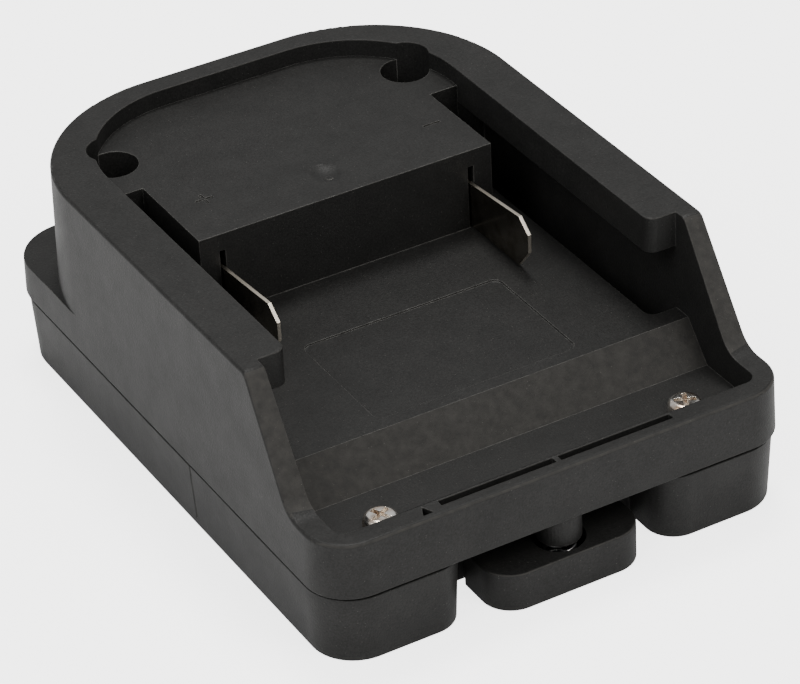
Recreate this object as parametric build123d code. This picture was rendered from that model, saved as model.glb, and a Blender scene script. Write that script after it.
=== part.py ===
from build123d import *
import math
import os

# A battery adapter for a cordless tool, in millimetres. It stands on z = 0, with x = 0 in the middle of
# its width. The shapes are drawn with y = 0 at the front face, where the latch button is, and each one
# is saved with y = 0 in the middle of the whole length. The battery slides in from the front on top,
# and the tool's foot slides in from the back underneath. The upper shell is one moulding in two nodes:
# its walls with the rails, and the deck between them with the floor, platform, ledge and post.

# Housing, its width at the top edge and its length at the part line
housing_width = 80.0
housing_length = 110.85
housing_height = 40.16
part_line_height = 12.2
front_corner_radius = 7.4
back_corner_radius = 10.1
upper_draft = 1.65
cut_overrun = 1.0

# Upper shell, the wall round the battery
shelf_height = 18.4
wall_corner_radius = 27.5
side_wall = 3.43
back_wall = 4.3
inner_corner_radius = 20.0
wall_edge_radius = 0.6
upward_face_share = 0.2

# Upper shell, the wall's sloping front ends
rim_height = 21.7
rim_width = 4.0
rim_inner_radius = 2.0
slope_foot = 12.05
slope_head = 24.0
slope_fillet = 5.0
slope_head_radius = 1.6

# Upper shell, rails over the battery channels
rail_reach = 4.94
rail_thickness = 6.23
rail_front = 26.3
rail_nose_radius = 1.8

# Upper shell, floor, step and ledge
floor_height = 22.7
floor_thickness = 2.4
step_head = 22.9
step_foot = 17.6
ledge_height = 16.6
ledge_thickness = 2.2
label_length = 23.9
label_width = 35.6
label_back = 49.3
label_depth = 0.3
label_corner_radius = 1.5

# Upper shell, platform behind the blades
platform_drop = 3.07
platform_length = 41.0
platform_gap = 5.13
side_gap_length = 19.3
platform_wall = 1.8
platform_front_wall = 2.4
platform_roof = 2.4

# Upper shell, small features of the platform and the rim
mark_size = 3.0
mark_stroke = 0.45
mark_depth = 0.3
mark_from_front = 10.8
plus_inset = 6.6
minus_inset = 4.7
gate_radius = 2.95
gate_depth = 0.7
gate_from_front = 6.9
gate_nub_radius = 0.6
gate_nub_height = 0.25
gate_nub_shift = 0.9
rim_slot_width = 1.2
rim_slot_back = 0.45
rim_slot_half_length = 20.2
rim_slot_rib = 0.9
rim_slot_depth = 3.0
rim_dimple_from_middle = 22.9
rim_dimple_width = 1.7
rim_dimple_reach = 2.0
rim_dimple_depth = 3.0

# Screw wells and bosses
well_inset = 12.9
well_from_back = 16.65
well_radius = 4.1
well_wall = 1.6
well_floor = 17.0
well_floor_thickness = 2.5
front_screw_inset = 13.2
front_screw_from_front = 9.1
boss_radius = 3.5
boss_floor = 2.4

# Lower shell
lower_wall = 2.4
lower_floor = 2.4
lower_step = 0.2
lower_draft = 3.0
lower_edge_gap = 0.55
lower_edge_depth = 0.6
side_seam_from_front = 45.0
side_seam_width = 0.25
side_seam_depth = 0.2
side_seam_foot = 1.5
side_seam_below_edge = 0.8
notch_half_width = 16.5
notch_depth = 10.4
notch_corner_radius = 5.0

# Tool slide recess in the underside
slide_rail_thickness = 2.6
slide_mouth_half_width = 19.0
slide_groove_half_width = 22.5
slide_roof_height = 9.5
slide_roof = 2.0
slide_wall = 2.0
slide_front = 33.0
catch_front = 16.0
catch_roof = 1.8

# Screws
screw_thread_radius = 1.4
screw_head_radius = 2.8
screw_head_height = 2.1
screw_head_round = 1.2
screw_cross_length = 3.4
screw_cross_width = 0.8
screw_cross_depth = 1.2
screw_hole_clearance = 0.2
screw_pilot_clearance = 0.05
screw_point_share = 0.35
front_screw_length = 13.0
front_screw_turn = 25.0
rear_screw_length = 11.5
rear_screw_turn = 10.0
screw_tip_length = 2.0
small_screw_thread_radius = 0.95
small_screw_head_radius = 2.0
small_screw_head_height = 1.2
carrier_screw_length = 7.5
terminal_screw_length = 3.2
terminal_screw_tip_length = 0.9
screw_tip_room = 0.8

# Blades and their carrier
blade_thickness = 0.6
blade_inset = 3.95
blade_reach = 17.9
blade_floor_gap = 0.4
blade_height = 9.3
blade_top_fall = 1.7
blade_top_bevel_length = 2.7
blade_top_bevel_drop = 2.15
blade_bottom_bevel_length = 3.2
blade_bottom_bevel_rise = 3.85
blade_tail_rise = 1.1
blade_tail_height = 5.0
tag_height = 1.8
tag_length = 5.2
slit_width = 1.0
slit_height = 11.33
carrier_length = 6.0
carrier_gap = 0.5
carrier_drop = 1.5
carrier_boss_height = 4.7
carrier_side_gap = 0.4
carrier_slot_clearance = 0.05
carrier_boss_radius = 3.0
carrier_screw_spacing = 24.0
carrier_counterbore = 4.4
counterbore_clearance = 0.4

# Terminal block and its clips
block_length = 21.0
block_half_width = 15.5
block_bottom = 1.2
block_from_slide_front = 2.2
block_flange_reach = 4.5
block_flange_rim = 1.4
block_flange_thickness = 1.5
block_window_clearance = 0.2
terminal_screw_from_window = 1.9
clip_spacing = 22.0
clip_cavity_width = 4.4
clip_cavity_front_wall = 2.0
clip_cavity_back_wall = 1.6
clip_cavity_floor = 1.2
clip_cavity_roof = 4.0
clip_slit_width = 1.6
clip_thickness = 0.5
clip_half_width = 1.7
clip_margin = 0.25
clip_leaf_length = 14.6
clip_pinch_share = 0.76
clip_pinch_gap = 0.7
clip_tail_half_width = 0.9
clip_tail_length = 7.4

# Leads and sleeves
lead_radius = 1.3
lead_run_height = 17.6
lead_start_gap = 1.2
lead_well_gap = 0.5
lead_end_rise = 2.2
lead_corner_share = 0.45
lead_drift_shares = (0.38, 0.63, 0.82)
lead_sway_shares = (0.5, 2.5)
lead_lift_share = 0.33
sleeve_wall = 0.4
sleeve_clearance = 0.05
sleeve_gap = 0.4

# Latch button and its spring
tab_half_width = 13.3
tab_overhang = 1.4
tab_depth = 10.9
tab_height = 6.7
tab_corner_radius = 5.2
tab_back_corner_radius = 1.0
tab_edge_radius = 0.35
post_shift = 0.6
post_front_gap = 0.5
post_radius = 3.6
post_gap = 0.4
post_nub_radius = 1.6
post_nub_height = 1.0
spring_pocket_clearance = 0.5
spring_pocket_floor = 1.6
latch_plate_half_width = 12.2
latch_plate_rest_gap = 0.2
latch_plate_back = 29.0
latch_side_gap = 0.4
latch_travel = 2.4
hook_half_width = 8.0
hook_front = 22.0
hook_length = 5.0
hook_tip = 0.5
hook_tip_flat = 1.4
hook_ramp_top = 3.4
hook_window_gap = 0.4
curtain_gap = 0.5
curtain_thickness = 1.6
curtain_from_notch = 0.6
spring_wire_radius = 0.25
spring_mean_radius = 2.5
spring_turns = 4
spring_seat_gap = 0.03

# Places that follow from the sizes above
half_width = housing_width / 2
middle_y = (housing_length - tab_overhang) / 2
upper_lean = (housing_height - part_line_height) * math.tan(math.radians(upper_draft))
wall_back = housing_length - upper_lean
wall_inner = half_width - side_wall
cavity_back = wall_back - back_wall
rail_inner = wall_inner - rail_reach
rail_underside = housing_height - rail_thickness
platform_height = housing_height - platform_drop
blade_bottom = floor_height + blade_floor_gap
blade_tail_bottom = blade_bottom + blade_tail_rise
platform_half_width = rail_inner - platform_gap
platform_front = cavity_back - platform_length
channel_back = platform_front + side_gap_length
well_x = half_width - well_inset
well_y = wall_back - well_from_back
front_screw_x = half_width - front_screw_inset
blade_x = platform_half_width - blade_inset
blade_front = platform_front - blade_reach
carrier_front = platform_front + platform_front_wall + carrier_gap
carrier_back = carrier_front + carrier_length
carrier_half_width = platform_half_width - platform_wall - carrier_side_gap
hollow_top = platform_height - platform_roof
carrier_bottom = blade_bottom - carrier_drop
carrier_top = hollow_top - carrier_boss_height
ledge_underside = ledge_height - ledge_thickness
floor_underside = floor_height - floor_thickness
slide_top = slide_roof_height + slide_roof
block_front = slide_front + block_from_slide_front
block_back = block_front + block_length
block_top = slide_top + block_flange_thickness
lead_turn_y = well_y - well_radius - well_wall - lead_well_gap - lead_radius
clip_x = clip_spacing / 2
clip_front = block_front + clip_cavity_front_wall + clip_margin
clip_bottom = block_bottom + clip_cavity_floor + clip_margin
clip_top = block_top - clip_cavity_roof - clip_margin
terminal_screw_x = block_half_width + block_window_clearance + terminal_screw_from_window
latch_plate_bottom = slide_rail_thickness + catch_roof + latch_plate_rest_gap
post_y = post_radius + post_front_gap
post_end = tab_height + post_gap


def block(x_low, x_high, y_low, y_high, z_low, z_high):
    """A box between two corners."""
    middle = Pos((x_low + x_high) / 2, (y_low + y_high) / 2, (z_low + z_high) / 2)
    return middle * Box(x_high - x_low, y_high - y_low, z_high - z_low)


def centred_block(reach, y_low, y_high, z_low, z_high):
    """A box that reaches the same distance to both sides of the middle."""
    return block(-reach, reach, y_low, y_high, z_low, z_high)


def upright(x, y, z_low, z_high, radius):
    """A vertical round bar."""
    return Pos(x, y, (z_low + z_high) / 2) * Cylinder(radius, z_high - z_low)


def plan_face(reach, front, back, front_radius, back_radius):
    """A rectangle seen from above with round corners."""
    face = Pos(0, (front + back) / 2) * Rectangle(2 * reach, back - front)
    if front_radius > 0:
        face = fillet(face.vertices().sort_by(Axis.Y)[:2], front_radius)
    if back_radius > 0:
        face = fillet(face.vertices().sort_by(Axis.Y)[-2:], back_radius)
    return face


def lift(face, z_low, z_high):
    """A face drawn on the ground, made solid between two heights."""
    return Pos(0, 0, z_low) * extrude(face, z_high - z_low)


def side_solid(points, reach):
    """A solid with a side view given as (y, z) points, reaching to both sides of the middle."""
    face = Plane.YZ * make_face(Polyline(*points, close=True))
    return extrude(face, reach, both=True)


def both_sides(shape):
    """A shape and its mirror image across the middle."""
    return shape + mirror(shape, about=Plane.YZ)


def outer_wall():
    """The upper shell before it is hollowed: skirt, shelf, tall wall and sloping front ends."""
    reach = half_width + upper_lean
    skirt = plan_face(reach, 0, housing_length, front_corner_radius, back_corner_radius)
    tall = plan_face(reach, 0, housing_length, front_corner_radius, wall_corner_radius)
    body = extrude(skirt, shelf_height - part_line_height, taper=upper_draft)
    body += extrude(tall, housing_height - part_line_height, taper=upper_draft)
    body = Pos(0, 0, part_line_height) * body
    lean = (slope_head - slope_foot) / (housing_height - rim_height)
    above = housing_height + cut_overrun
    profile = make_face(Polyline(
        (-cut_overrun, rim_height),
        (slope_foot, rim_height),
        (slope_head + cut_overrun * lean, above),
        (-cut_overrun, above),
        close=True,
    ))
    foot = profile.vertices().sort_by(Axis.Y)[:2].sort_by(Axis.X)[-1]
    profile = fillet(foot, slope_fillet)
    body -= extrude(Plane.YZ * profile, reach + cut_overrun, both=True)
    head = body.edges().filter_by(Axis.X).filter_by(
        lambda edge: abs(edge.center().Z - housing_height) < wall_edge_radius
        and abs(edge.center().Y - slope_head) < wall_edge_radius
    )
    body = fillet(head, slope_head_radius)
    outline = body.faces().filter_by(lambda face: face.center().Z > rim_height - wall_edge_radius)
    outline = outline.filter_by(lambda face: face.normal_at(face.center()).Z > upward_face_share)
    border = ShapeList()
    for edge in outline.edges():
        middle = edge.position_at(0.5)
        side = abs(middle.X) > half_width - wall_edge_radius / 2
        if side or middle.Y < wall_edge_radius or middle.Y > slope_head + cut_overrun:
            border.append(edge)
    return fillet(border, wall_edge_radius)


def rail_plan(outer, inner, back):
    """The right rail seen from above, with its rounded nose."""
    face = Pos((outer + inner) / 2, (rail_front + back) / 2) * Rectangle(outer - inner, back - rail_front)
    nose = face.vertices().sort_by(Axis.Y)[:2].sort_by(Axis.X)[0]
    return fillet(nose, rail_nose_radius)


def battery_space():
    """The space above the floor, with rails, platform and ledge left standing."""
    above = housing_height + cut_overrun
    bay_back = platform_front
    front_bay = side_solid([
        (rim_width, ledge_height),
        (step_foot, ledge_height),
        (step_head, floor_height),
        (bay_back, floor_height),
        (bay_back, above),
        (rim_width, above),
    ], wall_inner)
    corner = lift(plan_face(wall_inner, rim_width, bay_back, rim_inner_radius, 0), ledge_height, above)
    space = front_bay & corner
    rails = both_sides(lift(rail_plan(wall_inner, rail_inner, bay_back + cut_overrun), rail_underside, above))
    space -= rails
    over = plan_face(rail_inner, platform_front, cavity_back, 0, inner_corner_radius)
    space += lift(over, platform_height, above)
    gap = block(platform_half_width, rail_inner, platform_front, channel_back, floor_height, above)
    channel = block(platform_half_width, wall_inner, platform_front, channel_back, floor_height, rail_underside)
    return space + both_sides(gap) + both_sides(channel)


def inner_hollow():
    """The space inside the housing, open from below."""
    low = part_line_height - cut_overrun
    shelf_space = plan_face(
        wall_inner, rim_width, housing_length - side_wall,
        front_corner_radius - side_wall, back_corner_radius - side_wall,
    )
    tall_space = plan_face(
        wall_inner, rim_width, wall_back - side_wall, front_corner_radius - side_wall,
        wall_corner_radius - side_wall,
    )
    lean = (step_head - step_foot) / (floor_height - ledge_height) * ledge_thickness
    under_floor = side_solid([
        (rim_width, low),
        (rim_width, ledge_underside),
        (step_foot + lean, ledge_underside),
        (step_head + lean, floor_underside),
        (housing_length, floor_underside),
        (housing_length, low),
    ], wall_inner)
    low_space = lift(shelf_space, low, shelf_height - floor_thickness) & under_floor
    high_space = lift(tall_space, low, floor_underside) & under_floor
    platform_space = block(
        -platform_half_width + platform_wall, platform_half_width - platform_wall,
        platform_front + platform_front_wall, channel_back + 2 * floor_thickness, low, hollow_top,
    )
    back_space = lift(tall_space, low, hollow_top)
    back_space &= centred_block(half_width, channel_back + floor_thickness, housing_length, low, hollow_top)
    return low_space + high_space + platform_space + back_space


def label_recess():
    """The shallow rectangle sunk in the floor."""
    face = plan_face(
        label_width / 2, label_back - label_length, label_back, label_corner_radius, label_corner_radius,
    )
    return lift(face, floor_height - label_depth, floor_height + cut_overrun)


def polarity_marks():
    """Plus mark at the left and minus mark at the right, sunk in the platform."""
    low = platform_height - mark_depth
    high = platform_height + cut_overrun
    plus_x = plus_inset - platform_half_width
    minus_x = platform_half_width - minus_inset
    y = platform_front + mark_from_front
    half = mark_size / 2
    stroke = mark_stroke / 2
    minus = block(minus_x - half, minus_x + half, y - stroke, y + stroke, low, high)
    plus = block(plus_x - half, plus_x + half, y - stroke, y + stroke, low, high)
    plus += block(plus_x - stroke, plus_x + stroke, y - half, y + half, low, high)
    return minus + plus


def gate_dish():
    """The shallow round dish left by the moulding gate, with its nub."""
    sphere_radius = (gate_radius ** 2 + gate_depth ** 2) / (2 * gate_depth)
    y = platform_front + gate_from_front
    dish = Pos(0, y, platform_height + sphere_radius - gate_depth) * Sphere(sphere_radius)
    nub_low = platform_height - gate_depth
    nub = upright(0, y - gate_nub_shift, nub_low, nub_low + gate_nub_height, gate_nub_radius)
    return dish - nub


def rim_slots():
    """Two long slots in the top of the front rim, with a rib between them."""
    back = rim_width - rim_slot_back
    slot = block(
        rim_slot_rib / 2, rim_slot_half_length, back - rim_slot_width, back,
        rim_height - rim_slot_depth, rim_height + cut_overrun,
    )
    return both_sides(slot)


def rim_dimple():
    """A small triangular pocket in the rim's top, at the left of the long slots."""
    x = -rim_dimple_from_middle
    back = rim_width - rim_slot_back
    face = make_face(Polyline(
        (x - rim_dimple_width / 2, back - rim_dimple_reach),
        (x + rim_dimple_width / 2, back - rim_dimple_reach),
        (x, back),
        close=True,
    ))
    return lift(face, rim_height - rim_dimple_depth, rim_height + cut_overrun)


def blade_slits():
    """Slits in the platform's front wall for the two blades."""
    slit = block(
        blade_x - slit_width / 2, blade_x + slit_width / 2,
        platform_front - cut_overrun, platform_front + platform_front_wall + cut_overrun,
        floor_height, floor_height + slit_height,
    )
    return both_sides(slit)


def whole_upper_shell():
    """The upper half of the housing, one moulding."""
    shell = outer_wall() - battery_space() - inner_hollow()
    tube_bottom = well_floor - well_floor_thickness
    shell += both_sides(upright(well_x, well_y, tube_bottom, platform_height, well_radius + well_wall))
    shell += both_sides(
        upright(front_screw_x, front_screw_from_front, part_line_height, ledge_underside + cut_overrun, boss_radius)
    )
    carrier_boss = upright(
        carrier_screw_spacing / 2, (carrier_front + carrier_back) / 2, carrier_top, hollow_top + cut_overrun,
        carrier_boss_radius,
    )
    shell += both_sides(carrier_boss)
    curtain_y = notch_depth + curtain_from_notch
    shell += centred_block(
        latch_plate_half_width, curtain_y, curtain_y + curtain_thickness,
        tab_height + latch_travel + curtain_gap, ledge_underside + cut_overrun,
    )
    shell += upright(post_shift, post_y, post_end, ledge_underside + cut_overrun, post_radius)
    shell += upright(post_shift, post_y, post_end - post_nub_height, post_end, post_nub_radius)
    above = housing_height + cut_overrun
    hole_radius = screw_thread_radius + screw_hole_clearance
    shell -= both_sides(upright(well_x, well_y, well_floor, above, well_radius))
    shell -= both_sides(upright(well_x, well_y, tube_bottom - cut_overrun, above, hole_radius))
    shell -= both_sides(
        upright(front_screw_x, front_screw_from_front, part_line_height - cut_overrun, rim_height, hole_radius)
    )
    pilot_top = carrier_top + carrier_screw_length - carrier_counterbore + screw_tip_room
    shell -= both_sides(upright(
        carrier_screw_spacing / 2, (carrier_front + carrier_back) / 2, carrier_top - cut_overrun, pilot_top,
        small_screw_thread_radius + screw_pilot_clearance,
    ))
    floor_slot = lift(
        rail_plan(wall_inner, rail_inner, channel_back), floor_underside - cut_overrun, floor_height + cut_overrun
    )
    shell -= both_sides(floor_slot)
    shell -= label_recess() + polarity_marks() + gate_dish()
    return shell - rim_slots() - rim_dimple() - blade_slits()


def deck_region():
    """The space within the walls, under the rails and up to the platform's top, and the latch's post."""
    within = plan_face(
        wall_inner, rim_width, wall_back - side_wall, rim_inner_radius, wall_corner_radius - side_wall,
    )
    bay = lift(within, 0, rail_underside) & centred_block(wall_inner, rim_width, channel_back, 0, rail_underside)
    over = plan_face(rail_inner, rim_width, cavity_back, rim_inner_radius, inner_corner_radius)
    post = upright(post_shift, post_y, 0, ledge_underside, post_radius)
    return bay + lift(over, 0, platform_height) + post


def lower_plan(shrink):
    """The lower shell seen from above, with the notch for the latch button."""
    face = plan_face(
        half_width + upper_lean - shrink, shrink, housing_length - shrink, front_corner_radius,
        back_corner_radius,
    )
    face -= Rectangle(2 * (notch_half_width + shrink), 2 * notch_depth)
    corners = [
        point for point in face.vertices()
        if abs(point.Y - shrink) < cut_overrun / 2 and abs(point.X) < notch_half_width + cut_overrun
    ]
    return fillet(corners, notch_corner_radius)


def side_seams(lean):
    """The fine upright line that the mould's split leaves in each side of the lower shell."""
    inset = lower_step + lean + side_seam_depth
    plan = plan_face(
        half_width + upper_lean - inset, inset, housing_length - inset, front_corner_radius, back_corner_radius,
    )
    core = extrude(plan, part_line_height, taper=-lower_draft)
    line = block(
        half_width - lower_wall, half_width + upper_lean + cut_overrun,
        side_seam_from_front - side_seam_width / 2, side_seam_from_front + side_seam_width / 2,
        side_seam_foot, part_line_height - side_seam_below_edge,
    )
    return both_sides(line - core)


def lower_shell():
    """The lower half of the housing, with the tool's slide recess underneath."""
    lean = part_line_height * math.tan(math.radians(lower_draft))
    shell = extrude(lower_plan(lower_step + lean), part_line_height, taper=-lower_draft)
    shell -= side_seams(lean)
    inside = plan_face(
        half_width + upper_lean - lower_step - lower_wall, lower_wall, housing_length - lower_wall,
        front_corner_radius - lower_wall, back_corner_radius - lower_wall,
    )
    inside -= Rectangle(2 * (notch_half_width + lower_wall), 2 * (notch_depth + lower_wall))
    shell -= lift(inside, lower_floor, part_line_height + cut_overrun)
    edge = lower_plan(lower_step - cut_overrun) - lower_plan(lower_step + lower_edge_depth)
    shell -= lift(edge, part_line_height - lower_edge_gap, part_line_height + cut_overrun)
    hidden_back = housing_length - lower_wall
    shell += centred_block(
        slide_mouth_half_width + slide_wall, notch_depth + lower_wall / 2, slide_front,
        lower_floor / 2, slide_rail_thickness + catch_roof,
    )
    shell += centred_block(
        slide_groove_half_width + slide_wall, slide_front - slide_wall, hidden_back, lower_floor / 2, slide_top
    )
    shell += both_sides(upright(
        front_screw_x, front_screw_from_front, lower_floor / 2, part_line_height, boss_radius
    ))
    shell += both_sides(upright(
        well_x, well_y, lower_floor / 2, well_floor - well_floor_thickness, boss_radius
    ))
    beyond = housing_length + cut_overrun
    shell -= centred_block(slide_mouth_half_width, catch_front, beyond, -cut_overrun, slide_rail_thickness)
    shell -= centred_block(
        slide_groove_half_width, slide_front, beyond, slide_rail_thickness, slide_roof_height
    )
    window = block_half_width + block_window_clearance
    shell -= centred_block(
        window, block_front - block_window_clearance, block_back + block_window_clearance,
        slide_roof_height - cut_overrun, slide_top + cut_overrun,
    )
    shell -= centred_block(
        hook_half_width + hook_window_gap, hook_front - hook_window_gap,
        hook_front + hook_length + hook_window_gap, -cut_overrun, slide_top,
    )
    shell -= centred_block(
        latch_plate_half_width + latch_side_gap, notch_depth - cut_overrun, notch_depth + 2 * lower_wall,
        slide_rail_thickness + catch_roof, part_line_height + cut_overrun,
    )
    pilot_radius = screw_thread_radius + screw_pilot_clearance
    shell -= both_sides(upright(
        front_screw_x, front_screw_from_front, boss_floor, part_line_height + cut_overrun, pilot_radius
    ))
    shell -= both_sides(upright(well_x, well_y, boss_floor, well_floor, pilot_radius))
    shell -= both_sides(upright(
        terminal_screw_x, (block_front + block_back) / 2, slide_roof_height - cut_overrun,
        slide_top + cut_overrun, small_screw_thread_radius + screw_pilot_clearance,
    ))
    return shell


def screw(thread_radius, head_radius, head_height, length, tip_length):
    """A pan-head screw with a cross recess, head up, with its seat at the origin."""
    head = Pos(0, 0, head_height / 2) * Cylinder(head_radius, head_height)
    top = head.edges().filter_by(GeomType.CIRCLE).sort_by(Axis.Z)[-1]
    head = fillet(top, screw_head_round * head_height / screw_head_height)
    shank = Pos(0, 0, -(length - tip_length) / 2) * Cylinder(thread_radius, length - tip_length)
    tip = Pos(0, 0, tip_length / 2 - length) * Cone(thread_radius * screw_point_share, thread_radius, tip_length)
    scale = head_radius / screw_head_radius
    arm = Pos(0, 0, head_height) * Box(
        screw_cross_length * scale, screw_cross_width * scale, 2 * screw_cross_depth * scale
    )
    return head + shank + tip - arm - Rot(0, 0, 90) * arm


def pair_of_screws(x, y, z, turn, shape):
    """Two screws, one each side of the middle, as separate solids."""
    left = Pos(-x, y, z) * Rot(0, 0, turn) * shape
    right = Pos(x, y, z) * Rot(0, 0, -turn) * shape
    return Compound([left, right])


def front_screws():
    """The two screws in the ledge."""
    shape = screw(
        screw_thread_radius, screw_head_radius, screw_head_height, front_screw_length, screw_tip_length
    )
    return pair_of_screws(front_screw_x, front_screw_from_front, ledge_height, front_screw_turn, shape)


def rear_screws():
    """The two screws at the bottom of the wells."""
    shape = screw(
        screw_thread_radius, screw_head_radius, screw_head_height, rear_screw_length, screw_tip_length
    )
    return pair_of_screws(well_x, well_y, well_floor, rear_screw_turn, shape)


def carrier_screws():
    """The two screws that hold the blade carrier, driven upward."""
    shape = Rot(180, 0, 0) * screw(
        small_screw_thread_radius, small_screw_head_radius, small_screw_head_height, carrier_screw_length,
        screw_tip_length,
    )
    middle = (carrier_front + carrier_back) / 2
    return pair_of_screws(carrier_screw_spacing / 2, middle, carrier_bottom + carrier_counterbore, 0, shape)


def terminal_screws():
    """The two short screws that hold the terminal block."""
    shape = screw(
        small_screw_thread_radius, small_screw_head_radius, small_screw_head_height, terminal_screw_length,
        terminal_screw_tip_length,
    )
    return pair_of_screws(terminal_screw_x, (block_front + block_back) / 2, block_top, 0, shape)


def blade():
    """The right contact blade: wide in front, a narrow tail in the carrier, a solder tag behind."""
    top = blade_bottom + blade_height
    tail_top = blade_tail_bottom + blade_tail_height
    tag_bottom = blade_tail_bottom + (blade_tail_height - tag_height) / 2
    tag_back = carrier_back + tag_length
    face = make_face(Polyline(
        (blade_front + blade_bottom_bevel_length, blade_bottom),
        (carrier_front, blade_bottom),
        (carrier_front, blade_tail_bottom),
        (carrier_back, blade_tail_bottom),
        (carrier_back, tag_bottom),
        (tag_back, tag_bottom),
        (tag_back, tag_bottom + tag_height),
        (carrier_back, tag_bottom + tag_height),
        (carrier_back, tail_top),
        (carrier_front, tail_top),
        (carrier_front, top - blade_top_fall),
        (blade_front + blade_top_bevel_length, top),
        (blade_front, top - blade_top_bevel_drop),
        (blade_front, blade_bottom + blade_bottom_bevel_rise),
        close=True,
    ))
    return Pos(blade_x, 0, 0) * extrude(Plane.YZ * face, blade_thickness / 2, both=True)


def blade_carrier():
    """The moulded bar that holds both blades behind the platform's front wall."""
    bar = centred_block(carrier_half_width, carrier_front, carrier_back, carrier_bottom, carrier_top)
    reach = blade_thickness / 2 + carrier_slot_clearance
    slot = block(
        blade_x - reach, blade_x + reach, carrier_front - cut_overrun, carrier_back + cut_overrun,
        blade_tail_bottom - carrier_slot_clearance, blade_tail_bottom + blade_tail_height + carrier_slot_clearance,
    )
    middle = (carrier_front + carrier_back) / 2
    x = carrier_screw_spacing / 2
    hole = upright(
        x, middle, carrier_bottom - cut_overrun, carrier_top + cut_overrun,
        small_screw_thread_radius + screw_hole_clearance,
    )
    sink = upright(
        x, middle, carrier_bottom - cut_overrun, carrier_bottom + carrier_counterbore,
        small_screw_head_radius + counterbore_clearance,
    )
    return bar - both_sides(slot) - both_sides(hole) - both_sides(sink)


def terminal_block():
    """The housing of the two clips, hanging in the slide recess from a flange inside."""
    body = centred_block(block_half_width, block_front, block_back, block_bottom, block_top)
    body += centred_block(
        block_half_width + block_flange_reach, block_front - block_flange_rim, block_back + block_flange_rim,
        slide_top, block_top,
    )
    cavity = block(
        clip_x - clip_cavity_width / 2, clip_x + clip_cavity_width / 2,
        block_front + clip_cavity_front_wall, block_back - clip_cavity_back_wall,
        block_bottom + clip_cavity_floor, block_top - clip_cavity_roof,
    )
    slit = block(
        clip_x - clip_slit_width / 2, clip_x + clip_slit_width / 2,
        block_front + 2 * clip_cavity_front_wall, block_back + cut_overrun,
        block_bottom - cut_overrun, block_top - clip_cavity_roof - clip_cavity_floor,
    )
    tail = block(
        clip_x - clip_tail_half_width - clip_margin, clip_x + clip_tail_half_width + clip_margin,
        clip_front - clip_margin, clip_front + clip_thickness + clip_margin,
        block_top - clip_cavity_roof - cut_overrun, block_top + cut_overrun,
    )
    hole = upright(
        terminal_screw_x, (block_front + block_back) / 2, slide_top - cut_overrun, block_top + cut_overrun,
        small_screw_thread_radius + screw_hole_clearance,
    )
    return body - both_sides(cavity) - both_sides(slit) - both_sides(tail) - both_sides(hole)


def clip():
    """The right spring contact: two leaves that pinch, a base and a tail."""
    wide = clip_half_width
    pinch = clip_pinch_gap / 2
    leaf_end = clip_front + clip_leaf_length
    pinch_y = clip_front + clip_leaf_length * clip_pinch_share
    leaf = make_face(Polyline(
        (wide - clip_thickness, clip_front),
        (wide - clip_thickness, clip_front + 2 * clip_thickness),
        (pinch, pinch_y),
        (wide - clip_thickness, leaf_end),
        (wide, leaf_end),
        (pinch + clip_thickness, pinch_y),
        (wide, clip_front + 2 * clip_thickness),
        (wide, clip_front),
        close=True,
    ))
    leaves = lift(leaf, clip_bottom, clip_top) + mirror(lift(leaf, clip_bottom, clip_top), about=Plane.YZ)
    base = centred_block(wide, clip_front, clip_front + clip_thickness, clip_bottom, clip_top)
    return Pos(clip_x, 0, 0) * (leaves + base + clip_tail())


def clip_tail():
    """The tail of a clip on the middle line, up to its soldered end."""
    return centred_block(
        clip_tail_half_width, clip_front, clip_front + clip_thickness, clip_top - clip_thickness,
        clip_top + clip_tail_length,
    )


def corner_radii(points):
    """The largest arcs that the runs beside each corner allow."""
    radii = []
    for before, corner, after in zip(points, points[1:], points[2:]):
        come = Vector(*corner) - Vector(*before)
        go = Vector(*after) - Vector(*corner)
        turn = math.radians(come.get_angle(go))
        radii.append(lead_corner_share * min(come.length, go.length) / math.tan(turn / 2))
    return radii


def lead_route():
    """Points of the right lead, from the blade's tag to the clip's tail."""
    tag_middle = blade_tail_bottom + blade_tail_height / 2
    clip_y = clip_front + clip_thickness / 2
    span = lead_turn_y - clip_y
    first, second, third = lead_drift_shares
    small_sway, large_sway = lead_sway_shares
    return [
        (blade_x, carrier_back + lead_start_gap, tag_middle),
        (blade_x, lead_turn_y, tag_middle),
        (blade_x, lead_turn_y, lead_run_height),
        (blade_x - small_sway * lead_radius, lead_turn_y - first * span,
         lead_run_height + lead_lift_share * lead_radius),
        (blade_x - large_sway * lead_radius, lead_turn_y - second * span, lead_run_height),
        (clip_x, lead_turn_y - third * span, lead_run_height),
        (clip_x, clip_y, lead_run_height),
        (clip_x, clip_y, clip_top + clip_tail_length - lead_end_rise),
    ]


def lead():
    """The right insulated wire, soldered round the blade's tag and the clip's tail."""
    points = lead_route()
    radii = corner_radii(points)
    path = FilletPolyline(*points, radius=radii)
    start = Vector(*points[1]) - Vector(*points[0])
    section = Plane(origin=points[0], z_dir=start) * Circle(lead_radius)
    wire = sweep(section, path=path)
    expected = math.pi * lead_radius ** 2 * path.length
    print("lead radii", [round(radius, 2) for radius in radii], "volume ratio", round(wire.volume / expected, 4))
    return wire - blade() - Pos(clip_x, 0, 0) * clip_tail()


def sleeve():
    """The right shrink sleeve over the soldered tag, up to where the wire bends down."""
    middle = blade_tail_bottom + blade_tail_height / 2
    start = carrier_back + sleeve_gap
    length = lead_turn_y - corner_radii(lead_route())[0] - start
    inner = lead_radius + sleeve_clearance
    ring = Circle(inner + sleeve_wall) - Circle(inner)
    return Pos(blade_x, start, middle) * extrude(Plane.XZ * ring, -length)


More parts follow.
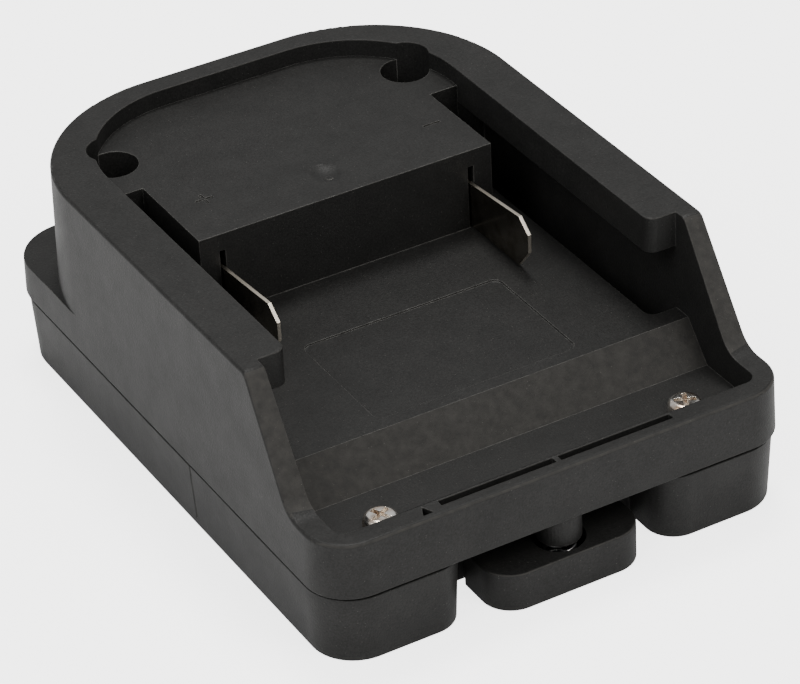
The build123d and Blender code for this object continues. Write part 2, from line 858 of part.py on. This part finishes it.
def latch_button():
    """The pressed tab, its plate inside the housing and the hook that holds the tool."""
    tab = lift(
        plan_face(tab_half_width, -tab_overhang, tab_depth - tab_overhang, tab_corner_radius,
                  tab_back_corner_radius),
        0, tab_height,
    )
    tab = fillet(tab.faces().sort_by(Axis.Z)[-1].edges() + tab.faces().sort_by(Axis.Z)[0].edges(), tab_edge_radius)
    tab -= upright(
        post_shift, post_y, spring_pocket_floor, tab_height + cut_overrun, post_radius + spring_pocket_clearance
    )
    plate = centred_block(
        latch_plate_half_width, tab_depth - tab_overhang - tab_edge_radius, latch_plate_back,
        latch_plate_bottom, tab_height,
    )
    hook = side_solid([
        (hook_front, hook_tip),
        (hook_front + hook_tip_flat, hook_tip),
        (hook_front + hook_length, hook_ramp_top),
        (hook_front + hook_length, latch_plate_bottom + cut_overrun),
        (hook_front, latch_plate_bottom + cut_overrun),
    ], hook_half_width)
    return tab + plate + hook


def latch_spring():
    """The coil spring in the tab's pocket, under the post."""
    low = spring_pocket_floor + spring_wire_radius + spring_seat_gap
    high = post_end - spring_wire_radius - spring_seat_gap
    pitch = (high - low) / spring_turns
    print("spring gap", round(pitch - 2 * spring_wire_radius, 3))
    coil = Helix(pitch, high - low, spring_mean_radius)
    section = Plane(origin=coil @ 0, z_dir=coil % 0) * Circle(spring_wire_radius)
    return Pos(post_shift, post_y, low) * sweep(section, path=coil, is_frenet=True)


def save(name, shape):
    """Write one sub-part."""
    export_step(Pos(0, -middle_y, 0) * shape, "parts/" + name + ".step")


def left_copy(shape):
    """The mirror image across the middle."""
    return mirror(shape, about=Plane.YZ)


os.makedirs("parts", exist_ok=True)
upper = whole_upper_shell()
save("upper_shell", upper - deck_region())
save("upper_shell_deck", upper & deck_region())
save("lower_shell", lower_shell())
save("blade_carrier", blade_carrier())
save("carrier_screws", carrier_screws())
save("positive_blade", left_copy(blade()))
save("negative_blade", blade())
save("positive_lead", left_copy(lead()))
save("negative_lead", lead())
save("positive_sleeve", left_copy(sleeve()))
save("negative_sleeve", sleeve())
save("terminal_block", terminal_block())
save("terminal_screws", terminal_screws())
save("positive_clip", left_copy(clip()))
save("negative_clip", clip())
save("latch_button", latch_button())
save("latch_spring", latch_spring())
save("front_screws", front_screws())
save("rear_screws", rear_screws())
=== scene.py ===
import bpy
import bmesh
import math
from mathutils import Matrix, Vector
from mathutils.bvhtree import BVHTree


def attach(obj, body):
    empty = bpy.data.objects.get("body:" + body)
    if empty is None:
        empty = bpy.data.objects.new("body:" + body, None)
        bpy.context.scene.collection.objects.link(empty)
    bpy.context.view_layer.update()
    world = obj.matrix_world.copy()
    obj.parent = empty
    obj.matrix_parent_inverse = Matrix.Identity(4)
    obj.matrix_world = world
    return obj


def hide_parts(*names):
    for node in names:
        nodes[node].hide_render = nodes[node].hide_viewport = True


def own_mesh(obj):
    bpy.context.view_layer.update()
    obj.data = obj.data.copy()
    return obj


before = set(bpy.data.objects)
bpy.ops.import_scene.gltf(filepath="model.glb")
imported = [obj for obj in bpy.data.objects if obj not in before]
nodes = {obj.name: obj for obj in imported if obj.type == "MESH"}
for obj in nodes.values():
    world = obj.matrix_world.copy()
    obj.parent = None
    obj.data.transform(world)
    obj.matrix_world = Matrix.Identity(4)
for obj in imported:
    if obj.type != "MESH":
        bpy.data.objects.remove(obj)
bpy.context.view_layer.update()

# The camera stands in front of the adapter, a little to its left and above it, with a long lens.
# It is turned slightly on its own axis, as the photograph is.
photo_width = 800
photo_focal_pixels = 3792.51
photo_centre_row = 342.0
photo_axis_row = 350.9
camera_azimuth = math.radians(-28.267)
camera_height = math.radians(33.419)
camera_roll = math.radians(-3.168)
camera_distance = 0.60027
camera_target = Vector((-0.000077, -0.004725, 0.015))
film_width = 36
nearest_seen = 0.01
farthest_seen = 20

towards_camera = Vector((
    math.sin(camera_azimuth) * math.cos(camera_height),
    -math.cos(camera_azimuth) * math.cos(camera_height),
    math.sin(camera_height),
))
level_right = (-towards_camera).cross(Vector((0, 0, 1))).normalized()
level_up = level_right.cross(-towards_camera)
picture_right = math.cos(camera_roll) * level_right + math.sin(camera_roll) * level_up
picture_up = -math.sin(camera_roll) * level_right + math.cos(camera_roll) * level_up
turn = Matrix((picture_right, picture_up, towards_camera)).transposed()
camera = bpy.data.objects.new("camera", bpy.data.cameras.new("camera"))
camera.matrix_world = Matrix.Translation(camera_target + towards_camera * camera_distance) @ turn.to_4x4()
camera.data.sensor_width = film_width
camera.data.lens = photo_focal_pixels * film_width / photo_width
camera.data.shift_y = (photo_axis_row - photo_centre_row) / photo_width
camera.data.clip_start = nearest_seen
camera.data.clip_end = farthest_seen
bpy.context.scene.collection.objects.link(camera)
bpy.context.scene.camera = camera

# The floor is one smooth sheet of white card under the adapter, lit from behind like a light table.
# It is wide enough to fill the picture from every side, and lies a hair below the adapter's feet.
# From below it is clear, so the underside shows.
floor_reach = 3.0
floor_drop = 0.00005
card_white = (0.93, 0.93, 0.93, 1)
card_glow_colour = (1.0, 1.0, 1.0, 1)
card_glow_on_adapter = 0.25
card_glow_in_picture = 3.0
card_roughness = 0.9
card_sheen = 0.1


def put(tree, kind, inputs, **settings):
    """A shader node with its settings, and each named input either linked or set."""
    node = tree.nodes.new(kind)
    for key, value in settings.items():
        setattr(node, key, value)
    for socket, source in inputs.items():
        if isinstance(source, bpy.types.NodeSocket):
            tree.links.new(source, node.inputs[socket])
        else:
            node.inputs[socket].default_value = source
    return node


def ramp(tree, value, start=0.0, stop=1.0, low=0.0, high=1.0):
    """A value that goes from low to high while another goes from start to stop."""
    spread = {"Value": value, "From Min": start, "From Max": stop, "To Min": low, "To Max": high}
    return put(tree, "ShaderNodeMapRange", spread).outputs["Result"]


floor_mesh = bmesh.new()
bmesh.ops.create_grid(floor_mesh, x_segments=2, y_segments=2, size=floor_reach)
floor_data = bpy.data.meshes.new("floor")
floor_mesh.to_mesh(floor_data)
floor_mesh.free()
floor = bpy.data.objects.new("floor", floor_data)
floor.location.z = -floor_drop
bpy.context.scene.collection.objects.link(floor)
card = bpy.data.materials.new("pale_card")
card.use_nodes = True
card_tree = card.node_tree
card_shader = card_tree.nodes["Principled BSDF"]
card_shader.inputs["Base Color"].default_value = card_white
card_shader.inputs["Roughness"].default_value = card_roughness
card_shader.inputs["Specular IOR Level"].default_value = card_sheen
card_shader.inputs["Emission Color"].default_value = card_glow_colour
card_ray = put(card_tree, "ShaderNodeLightPath", {})
card_glow = ramp(
    card_tree, card_ray.outputs["Is Camera Ray"], low=card_glow_on_adapter, high=card_glow_in_picture,
)
card_tree.links.new(card_glow, card_shader.inputs["Emission Strength"])
card_side = put(card_tree, "ShaderNodeNewGeometry", {})
card_clear = put(card_tree, "ShaderNodeBsdfTransparent", {})
card_above_only = put(card_tree, "ShaderNodeMixShader", {
    0: card_side.outputs["Backfacing"],
    1: card_shader.outputs["BSDF"],
    2: card_clear.outputs["BSDF"],
})
card_tree.links.new(card_above_only.outputs["Shader"], card_tree.nodes["Material Output"].inputs["Surface"])
floor_data.materials.append(card)

# The light is a bright even room with three soft lamps. The strongest hangs above and behind
# the adapter, one stands in front at its right, and a weaker one at its left.
room_white = (1.0, 1.0, 1.0, 1)
room_brightness = 0.48
room = bpy.data.worlds.new("room")
room.use_nodes = True
room.node_tree.nodes["Background"].inputs["Color"].default_value = room_white
room.node_tree.nodes["Background"].inputs["Strength"].default_value = room_brightness
bpy.context.scene.world = room


def soft_lamp(name, place, size, power, colour):
    """A square lamp that faces the adapter."""
    data = bpy.data.lights.new(name, "AREA")
    data.shape = "SQUARE"
    data.size = size
    data.energy = power
    data.color = colour
    lamp = bpy.data.objects.new(name, data)
    lamp.location = place
    lamp.rotation_euler = Vector(place).to_track_quat("Z", "Y").to_euler()
    bpy.context.scene.collection.objects.link(lamp)


soft_lamp("left_lamp", place=(-0.62, -0.2, 0.7), size=0.5, power=3.5, colour=(1.0, 1.0, 1.0))
soft_lamp("top_lamp", place=(0.149, 0.277, 1.054), size=0.3, power=7.5, colour=(1.0, 0.99, 0.97))
soft_lamp("front_lamp", place=(0.3, -0.8, 0.9), size=0.5, power=5.5, colour=(1.0, 0.98, 0.95))

# Both halves of the housing are moulded in black glass-filled nylon. A fine spark-eroded skin
# covers them, with pale dust in it. Their edges are painted a little paler, partly as wear and
# partly as a painted highlight. The step and the wall's sloping front ends are rougher, are painted
# paler as painted light where they face the lamps, and show the mould's coarser patches.
nylon_sheen = 0.2
nylon_edge_round = 0.00016
nylon_edge_sharpness = 9.0
nylon_breakup_fineness = 900.0
skin_grain_fineness = 3200.0
skin_blotch_fineness = 210.0
skin_dust_fineness = 1900.0
skin_depth = 0.00004
skin_darkest_grain = 0.7
skin_palest_grain = 1.35
rougher_blotch = 0.025
smoother_blotch = 0.02
dust_colour = (0.09, 0.087, 0.08, 1)
speck_rim = 0.16
speck_heart = 0.06
faint_speck_lot = 0.68
full_speck_lot = 0.92
slope_grain_fineness = 1500.0
slope_blotch_fineness = 650.0
slope_roughness = 0.62
# Painted light: the step and the wall's sloping front ends get these paler colours because they face the
# lamps.
lit_slope_dark = (0.023, 0.0222, 0.0208, 1)
lit_slope_pale = (0.040, 0.038, 0.0348, 1)
lowest_slope = 0.35
flattest_slope = 0.88
slope_lean_forward = -0.3
upper_edge_round = 0.00015
deck_edge_round = 0.0001
lower_edge_round = 0.0002
sharp_angle = math.radians(50)
shallow_crease = math.radians(18)
weld_reach = 0.000002
touching_reach = 0.00003

# The mix node's sockets share their names, so they are told apart by their places.
value_sockets = (2, 3)
mixed_value = 0
colour_sockets = (6, 7)
mixed_colour = 2


def blend_colours(tree, share, first, second):
    """Two colours mixed by a share."""
    sources = {"Factor": share, colour_sockets[0]: first, colour_sockets[1]: second}
    return put(tree, "ShaderNodeMix", sources, data_type="RGBA").outputs[mixed_colour]


def blend_values(tree, share, first, second):
    """Two values mixed by a share."""
    sources = {"Factor": share, value_sockets[0]: first, value_sockets[1]: second}
    return put(tree, "ShaderNodeMix", sources, data_type="FLOAT").outputs[mixed_value]


def reckon(tree, operation, *values, **settings):
    """The result of one sum or test on the values."""
    sources = dict(enumerate(values))
    return put(tree, "ShaderNodeMath", sources, operation=operation, **settings).outputs["Value"]


def clouds(tree, place, fineness, detail, roughness=0.5):
    """Soft irregular clouds over the surface."""
    look = {"Vector": place, "Scale": fineness, "Detail": detail, "Roughness": roughness}
    return put(tree, "ShaderNodeTexNoise", look).outputs["Fac"]


def new_group(name, inputs, outputs):
    """An empty shader node group, with each input as (name, value) and each output as (name, kind)."""
    group = bpy.data.node_groups.new(name, "ShaderNodeTree")
    for label, value in inputs:
        socket = group.interface.new_socket(label, in_out="INPUT", socket_type="NodeSocketFloat")
        socket.default_value = value
    for label, kind in outputs:
        group.interface.new_socket(label, in_out="OUTPUT", socket_type=kind)
    return group, group.nodes.new("NodeGroupInput"), group.nodes.new("NodeGroupOutput")


# Its Edge mask paints the edges of the plastics and metals paler, partly as wear and partly as a painted
# highlight.
def edge_wear_and_highlight_group():
    """Says where an edge is, from how far a rounded normal leans away from the real one."""
    group, start, end = new_group(
        "edge_wear_and_highlight",
        [
            ("Radius", nylon_edge_round),
            ("Sharpness", nylon_edge_sharpness),
            ("Breakup Scale", nylon_breakup_fineness),
        ],
        [("Edge", "NodeSocketFloat"), ("Normal", "NodeSocketVector")],
    )
    rounded = put(group, "ShaderNodeBevel", {"Radius": start.outputs["Radius"]}, samples=6)
    real = put(group, "ShaderNodeNewGeometry", {})
    both_ways = {0: rounded.outputs["Normal"], 1: real.outputs["Normal"]}
    likeness = put(group, "ShaderNodeVectorMath", both_ways, operation="DOT_PRODUCT")
    lean = reckon(group, "SUBTRACT", 1.0, likeness.outputs["Value"])
    strong = reckon(group, "MULTIPLY", lean, start.outputs["Sharpness"], use_clamp=True)
    place = put(group, "ShaderNodeTexCoord", {})
    broken = clouds(group, place.outputs["Object"], start.outputs["Breakup Scale"], detail=3.0)
    ragged = ramp(group, broken, start=0.3, stop=0.6, low=0.25)
    group.links.new(reckon(group, "MULTIPLY", strong, ragged), end.inputs["Edge"])
    group.links.new(rounded.outputs["Normal"], end.inputs["Normal"])
    return group


def moulded_skin_group():
    """The skin of a moulding: fine speckle, soft blotches and scattered pale dust specks."""
    group, start, end = new_group(
        "moulded_skin",
        [
            ("Grain Scale", skin_grain_fineness),
            ("Blotch Scale", skin_blotch_fineness),
            ("Dust Scale", skin_dust_fineness),
        ],
        [(label, "NodeSocketFloat") for label in ("Height", "Speckle", "Blotch", "Dust")],
    )
    here = put(group, "ShaderNodeTexCoord", {}).outputs["Object"]
    grain = clouds(group, here, start.outputs["Grain Scale"], detail=4.0, roughness=0.65)
    pits = put(group, "ShaderNodeTexVoronoi", {"Vector": here, "Scale": start.outputs["Grain Scale"]})
    height = reckon(group, "ADD", grain, pits.outputs["Distance"])
    cloud = clouds(group, here, start.outputs["Blotch Scale"], detail=5.0, roughness=0.6)
    cells = put(group, "ShaderNodeTexVoronoi", {"Vector": here, "Scale": start.outputs["Dust Scale"]})
    speck = ramp(group, cells.outputs["Distance"], start=speck_rim, stop=speck_heart)
    lot = put(group, "ShaderNodeSeparateColor", {"Color": cells.outputs["Color"]})
    few = ramp(group, lot.outputs["Red"], start=faint_speck_lot, stop=full_speck_lot)
    group.links.new(height, end.inputs["Height"])
    group.links.new(ramp(group, grain, start=0.35, stop=0.65), end.inputs["Speckle"])
    group.links.new(ramp(group, cloud, start=0.3, stop=0.7), end.inputs["Blotch"])
    group.links.new(reckon(group, "MULTIPLY", speck, few), end.inputs["Dust"])
    return group


# Its mask makes these faces rougher, and paints them paler as painted light where they face the lamps.
def sloping_face_group():
    """Says which faces slope up from the front, as the step and the wall's front ends do."""
    group, start, end = new_group(
        "sloping_face",
        [("Low", lowest_slope), ("High", flattest_slope)],
        [("Mask", "NodeSocketFloat")],
    )
    real = put(group, "ShaderNodeNewGeometry", {})
    lean = put(group, "ShaderNodeSeparateXYZ", {"Vector": real.outputs["True Normal"]})
    rising = reckon(group, "GREATER_THAN", lean.outputs["Z"], start.outputs["Low"])
    not_flat = reckon(group, "LESS_THAN", lean.outputs["Z"], start.outputs["High"])
    forward = reckon(group, "LESS_THAN", lean.outputs["Y"], slope_lean_forward)
    sloping = reckon(group, "MULTIPLY", rising, not_flat)
    group.links.new(reckon(group, "MULTIPLY", sloping, forward), end.inputs["Mask"])
    return group


edge_wear_and_highlight = edge_wear_and_highlight_group()
moulded_skin = moulded_skin_group()
sloping_face = sloping_face_group()


def moulded_plastic(name, dark, pale, edge_wear_and_highlight_colour, roughness, relief):
    """Black moulded plastic with its skin and dust, its edges painted paler as a little wear and a painted
    highlight, and the sloping faces rougher and painted paler as painted light.
    """
    material = bpy.data.materials.new(name)
    material.use_nodes = True
    tree = material.node_tree
    shader = tree.nodes["Principled BSDF"]
    shader.inputs["Specular IOR Level"].default_value = nylon_sheen
    skin = put(tree, "ShaderNodeGroup", {}, node_tree=moulded_skin)
    worn_and_lit_edge = put(tree, "ShaderNodeGroup", {}, node_tree=edge_wear_and_highlight)
    slope = put(tree, "ShaderNodeGroup", {}, node_tree=sloping_face).outputs["Mask"]
    coarser = {"Grain Scale": slope_grain_fineness, "Blotch Scale": slope_blotch_fineness}
    patches = put(tree, "ShaderNodeGroup", coarser, node_tree=moulded_skin)

    mottled = blend_colours(tree, skin.outputs["Blotch"], dark, pale)
    grain = ramp(tree, skin.outputs["Speckle"], low=skin_darkest_grain, high=skin_palest_grain)
    grained = put(tree, "ShaderNodeVectorMath", {0: mottled, "Scale": grain}, operation="SCALE")
    # Painted light: faces that slope up towards the front are painted paler, because they catch the lamps.
    lit_slope_colour = blend_colours(tree, patches.outputs["Blotch"], lit_slope_dark, lit_slope_pale)
    with_lit_slopes = blend_colours(tree, slope, grained.outputs["Vector"], lit_slope_colour)
    dusty = blend_colours(tree, skin.outputs["Dust"], with_lit_slopes, dust_colour)
    # Painted highlight: the edges take a paler colour, partly wear and partly standing in for the light that
    # rounded edges catch.
    worn_and_lit_edges = blend_colours(tree, worn_and_lit_edge.outputs["Edge"], dusty, edge_wear_and_highlight_colour)
    tree.links.new(worn_and_lit_edges, shader.inputs["Base Color"])

    blotch = skin.outputs["Blotch"]
    gloss = ramp(tree, blotch, low=roughness + rougher_blotch, high=roughness - smoother_blotch)
    tree.links.new(blend_values(tree, slope, gloss, slope_roughness), shader.inputs["Roughness"])
    skin_relief = {"Height": skin.outputs["Height"], "Strength": relief, "Distance": skin_depth}
    bump = put(tree, "ShaderNodeBump", skin_relief)
    tree.links.new(bump.outputs["Normal"], shader.inputs["Normal"])
    return material


def near_others(point, trees):
    """Whether a point touches one of the other solids."""
    return any(tree.find_nearest(point, touching_reach)[0] is not None for tree in trees)


def moulded_copy(node, neighbours, body, material, width, crease):
    """A copy of a CAD solid with its exposed sharp edges rounded, as a mould leaves them."""
    trees = []
    for other in neighbours:
        solid = bmesh.new()
        solid.from_mesh(nodes[other].data)
        trees.append(BVHTree.FromBMesh(solid))
        solid.free()
    work = bmesh.new()
    work.from_mesh(nodes[node].data)
    bmesh.ops.remove_doubles(work, verts=work.verts, dist=weld_reach)
    sharp = [
        edge for edge in work.edges
        if len(edge.link_faces) == 2 and edge.calc_face_angle() > sharp_angle
        and not near_others((edge.verts[0].co + edge.verts[1].co) / 2, trees)
    ]
    bmesh.ops.bevel(
        work, geom=sharp, offset=width, offset_type="OFFSET", segments=2, profile=0.5, affect="EDGES",
        clamp_overlap=False, material=-1,
    )
    mesh = bpy.data.meshes.new(node + "_moulded")
    work.to_mesh(mesh)
    work.free()
    mesh.polygons.foreach_set("use_smooth", [True] * len(mesh.polygons))
    mesh.set_sharp_from_angle(angle=crease)
    mesh.materials.append(material)
    piece = bpy.data.objects.new(node + "_moulded", mesh)
    bpy.context.scene.collection.objects.link(piece)
    flat = piece.modifiers.new("flat_faces", "WEIGHTED_NORMAL")
    flat.keep_sharp = True
    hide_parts(node)
    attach(piece, body)


# The edge colour is a painted highlight along the edges, with a little wear.
nylon = moulded_plastic(
    "black_nylon",
    dark=(0.0125, 0.0124, 0.0119, 1), pale=(0.0175, 0.0173, 0.0166, 1), edge_wear_and_highlight_colour=(0.15, 0.147, 0.138, 1),
    roughness=0.48, relief=0.5,
)
housing_solids = (
    ("upper_shell", ["upper_shell_deck", "lower_shell"], upper_edge_round, sharp_angle),
    ("upper_shell_deck", ["upper_shell", "lower_shell"], deck_edge_round, shallow_crease),
    ("lower_shell", ["upper_shell", "upper_shell_deck"], lower_edge_round, sharp_angle),
)
for node, neighbours, width, crease in housing_solids:
    moulded_copy(node, neighbours, "housing", nylon, width, crease)

# The latch button is moulded in the same black nylon, a shade smoother where thumbs rub it.
# Its plate and hook run into the lower shell, and it slides up against the spring.
button_edge_round = 0.0002
# Its edge colour is a painted highlight along the edges, with a little wear.
button_nylon = moulded_plastic(
    "button_nylon",
    dark=(0.012, 0.0119, 0.0114, 1), pale=(0.016, 0.0158, 0.0152, 1), edge_wear_and_highlight_colour=(0.11, 0.108, 0.102, 1),
    roughness=0.47, relief=0.3,
)
moulded_copy("latch_button", [], "latch", button_nylon, button_edge_round, sharp_angle)

# The blade carrier and the terminal block are mouldings inside the housing, in plain black nylon.
# The carrier is a bar that grips both blades, and the block holds the clips for the tool's blades.
# Its edge colour is a painted highlight along the edges, with a little wear.
inner_nylon = moulded_plastic(
    "inner_nylon",
    dark=(0.014, 0.014, 0.014, 1), pale=(0.02, 0.02, 0.02, 1), edge_wear_and_highlight_colour=(0.05, 0.05, 0.048, 1),
    roughness=0.45, relief=0.25,
)


def dress(node, material):
    """Gives one CAD node its material."""
    mesh = nodes[node].data
    mesh.materials.clear()
    mesh.materials.append(material)


dress("blade_carrier", inner_nylon)
dress("terminal_block", inner_nylon)

# The contact blades and the clips are punched from nickel-plated strip.
# Their cut edges are bright and warm, and the faces carry a fine rolled grain and some tarnish.
cut_colour = (0.80, 0.74, 0.64, 1)
cut_roughness = 0.36
# The edge colour below is partly worn plating and partly a painted highlight along the edges.
worn_and_lit_plate_colour = (0.98, 0.90, 0.76, 1)
plate_edge_round = 0.00012
plate_edge_sharpness = 6.0
plate_breakup_fineness = 2500.0
tarnish_fineness = 420.0
grain_depth = 0.00002
grain_relief = 0.15
smoother_grain = 0.08
rougher_grain = 0.12


def plated_metal(name, colour, tarnish, grain_stretch, roughness, cut_share):
    """Plated metal with a directional grain and tarnish, its edges painted bright as worn plating and a
    painted highlight, and paler where it was cut.
    """
    material = bpy.data.materials.new(name)
    material.use_nodes = True
    tree = material.node_tree
    shader = tree.nodes["Principled BSDF"]
    shader.inputs["Metallic"].default_value = 1.0
    place = put(tree, "ShaderNodeTexCoord", {}).outputs["Object"]
    stretched = put(tree, "ShaderNodeMapping", {"Vector": place, "Scale": grain_stretch})
    lines = clouds(tree, stretched.outputs["Vector"], 1.0, detail=4.0)
    stain = ramp(tree, clouds(tree, place, tarnish_fineness, detail=5.0), start=0.42, stop=0.7)
    # Settings of the edge mask, which paints the edges bright as worn plating and a painted highlight.
    worn = {
        "Radius": plate_edge_round,
        "Sharpness": plate_edge_sharpness,
        "Breakup Scale": plate_breakup_fineness,
    }
    worn_and_lit_edge = put(tree, "ShaderNodeGroup", worn, node_tree=edge_wear_and_highlight)
    real = put(tree, "ShaderNodeNewGeometry", {})
    lean = put(tree, "ShaderNodeSeparateXYZ", {"Vector": real.outputs["True Normal"]})
    across = reckon(tree, "ABSOLUTE", lean.outputs["X"])
    cut = ramp(tree, across, start=0.6, stop=0.4, high=cut_share)

    tinted = blend_colours(tree, stain, colour, tarnish)
    pale = blend_colours(tree, cut, tinted, cut_colour)
    # Painted highlight: the edges take a bright colour, partly worn plating and partly standing in for edge
    # glints.
    bright = blend_colours(tree, worn_and_lit_edge.outputs["Edge"], pale, worn_and_lit_plate_colour)
    tree.links.new(bright, shader.inputs["Base Color"])

    gloss = ramp(tree, lines, low=roughness - smoother_grain, high=roughness + rougher_grain)
    tree.links.new(blend_values(tree, cut, gloss, cut_roughness), shader.inputs["Roughness"])
    bump = put(tree, "ShaderNodeBump", {
        "Height": lines, "Normal": worn_and_lit_edge.outputs["Normal"], "Strength": grain_relief, "Distance": grain_depth,
    })
    tree.links.new(bump.outputs["Normal"], shader.inputs["Normal"])
    return material


nickel_strip = plated_metal(
    "nickel_strip",
    colour=(0.42, 0.39, 0.34, 1), tarnish=(0.26, 0.23, 0.18, 1),
    grain_stretch=(600.0, 600.0, 9000.0), roughness=0.16, cut_share=1.0,
)
for piece in ("positive_blade", "negative_blade", "positive_clip", "negative_clip"):
    dress(piece, nickel_strip)

# The screws are small pan heads with a cross recess, nickel plated, turned down onto their seats.
# They are paler than the strip, and warm where the plating has thinned.
nickel_screw = plated_metal(
    "nickel_screw",
    colour=(0.99, 0.97, 0.93, 1), tarnish=(0.52, 0.38, 0.27, 1),
    grain_stretch=(2500.0, 2500.0, 2500.0), roughness=0.2, cut_share=0.0,
)
for piece in ("front_screws", "rear_screws", "carrier_screws", "terminal_screws"):
    dress(piece, nickel_screw)

# The latch spring is coiled from drawn steel wire and stands in the button's pocket.
# Its upper end stays against the housing. The real spring shortens as the button rises; here the coil keeps
# its shape and rides with the housing.
spring_wire = plated_metal(
    "spring_wire",
    colour=(0.45, 0.45, 0.46, 1), tarnish=(0.26, 0.25, 0.24, 1),
    grain_stretch=(3000.0, 3000.0, 3000.0), roughness=0.32, cut_share=0.0,
)
wire_weld_reach = 0.000001
wire_work = bmesh.new()
wire_work.from_mesh(nodes["latch_spring"].data)
bmesh.ops.remove_doubles(wire_work, verts=wire_work.verts, dist=wire_weld_reach)
coil_data = bpy.data.meshes.new("latch_spring_coil")
wire_work.to_mesh(coil_data)
wire_work.free()
coil_data.polygons.foreach_set("use_smooth", [True] * len(coil_data.polygons))
coil_data.set_sharp_from_angle(angle=sharp_angle)
coil_data.materials.append(spring_wire)
coil = bpy.data.objects.new("latch_spring_coil", coil_data)
bpy.context.scene.collection.objects.link(coil)
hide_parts("latch_spring")
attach(coil, "housing")
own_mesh(coil)

# The two leads run inside the housing, red to the plus blade and black to the minus blade.
# Their insulation is soft silicone, and a shrink sleeve covers each soldered tag.
bloom_fineness = 700.0
bloom_depth = 0.00003
bloom_relief = 0.2
smoother_bloom = 0.06
rougher_bloom = 0.1


def insulation(name, colour, worn, roughness):
    """Soft insulation with a fine waxy bloom."""
    material = bpy.data.materials.new(name)
    material.use_nodes = True
    tree = material.node_tree
    shader = tree.nodes["Principled BSDF"]
    place = put(tree, "ShaderNodeTexCoord", {})
    bloom = clouds(tree, place.outputs["Object"], bloom_fineness, detail=5.0)
    tree.links.new(blend_colours(tree, bloom, colour, worn), shader.inputs["Base Color"])
    gloss = ramp(tree, bloom, low=roughness - smoother_bloom, high=roughness + rougher_bloom)
    tree.links.new(gloss, shader.inputs["Roughness"])
    bloom_look = {"Height": bloom, "Strength": bloom_relief, "Distance": bloom_depth}
    bump = put(tree, "ShaderNodeBump", bloom_look)
    tree.links.new(bump.outputs["Normal"], shader.inputs["Normal"])
    return material


red_insulation = insulation(
    "red_insulation", colour=(0.42, 0.018, 0.014, 1), worn=(0.55, 0.04, 0.03, 1), roughness=0.45,
)
black_insulation = insulation(
    "black_insulation", colour=(0.012, 0.012, 0.012, 1), worn=(0.022, 0.022, 0.022, 1), roughness=0.45,
)
shrink_sleeve = insulation(
    "shrink_sleeve", colour=(0.016, 0.016, 0.017, 1), worn=(0.03, 0.03, 0.03, 1), roughness=0.35,
)
dress("positive_lead", red_insulation)
dress("negative_lead", black_insulation)
dress("positive_sleeve", shrink_sleeve)
dress("negative_sleeve", shrink_sleeve)
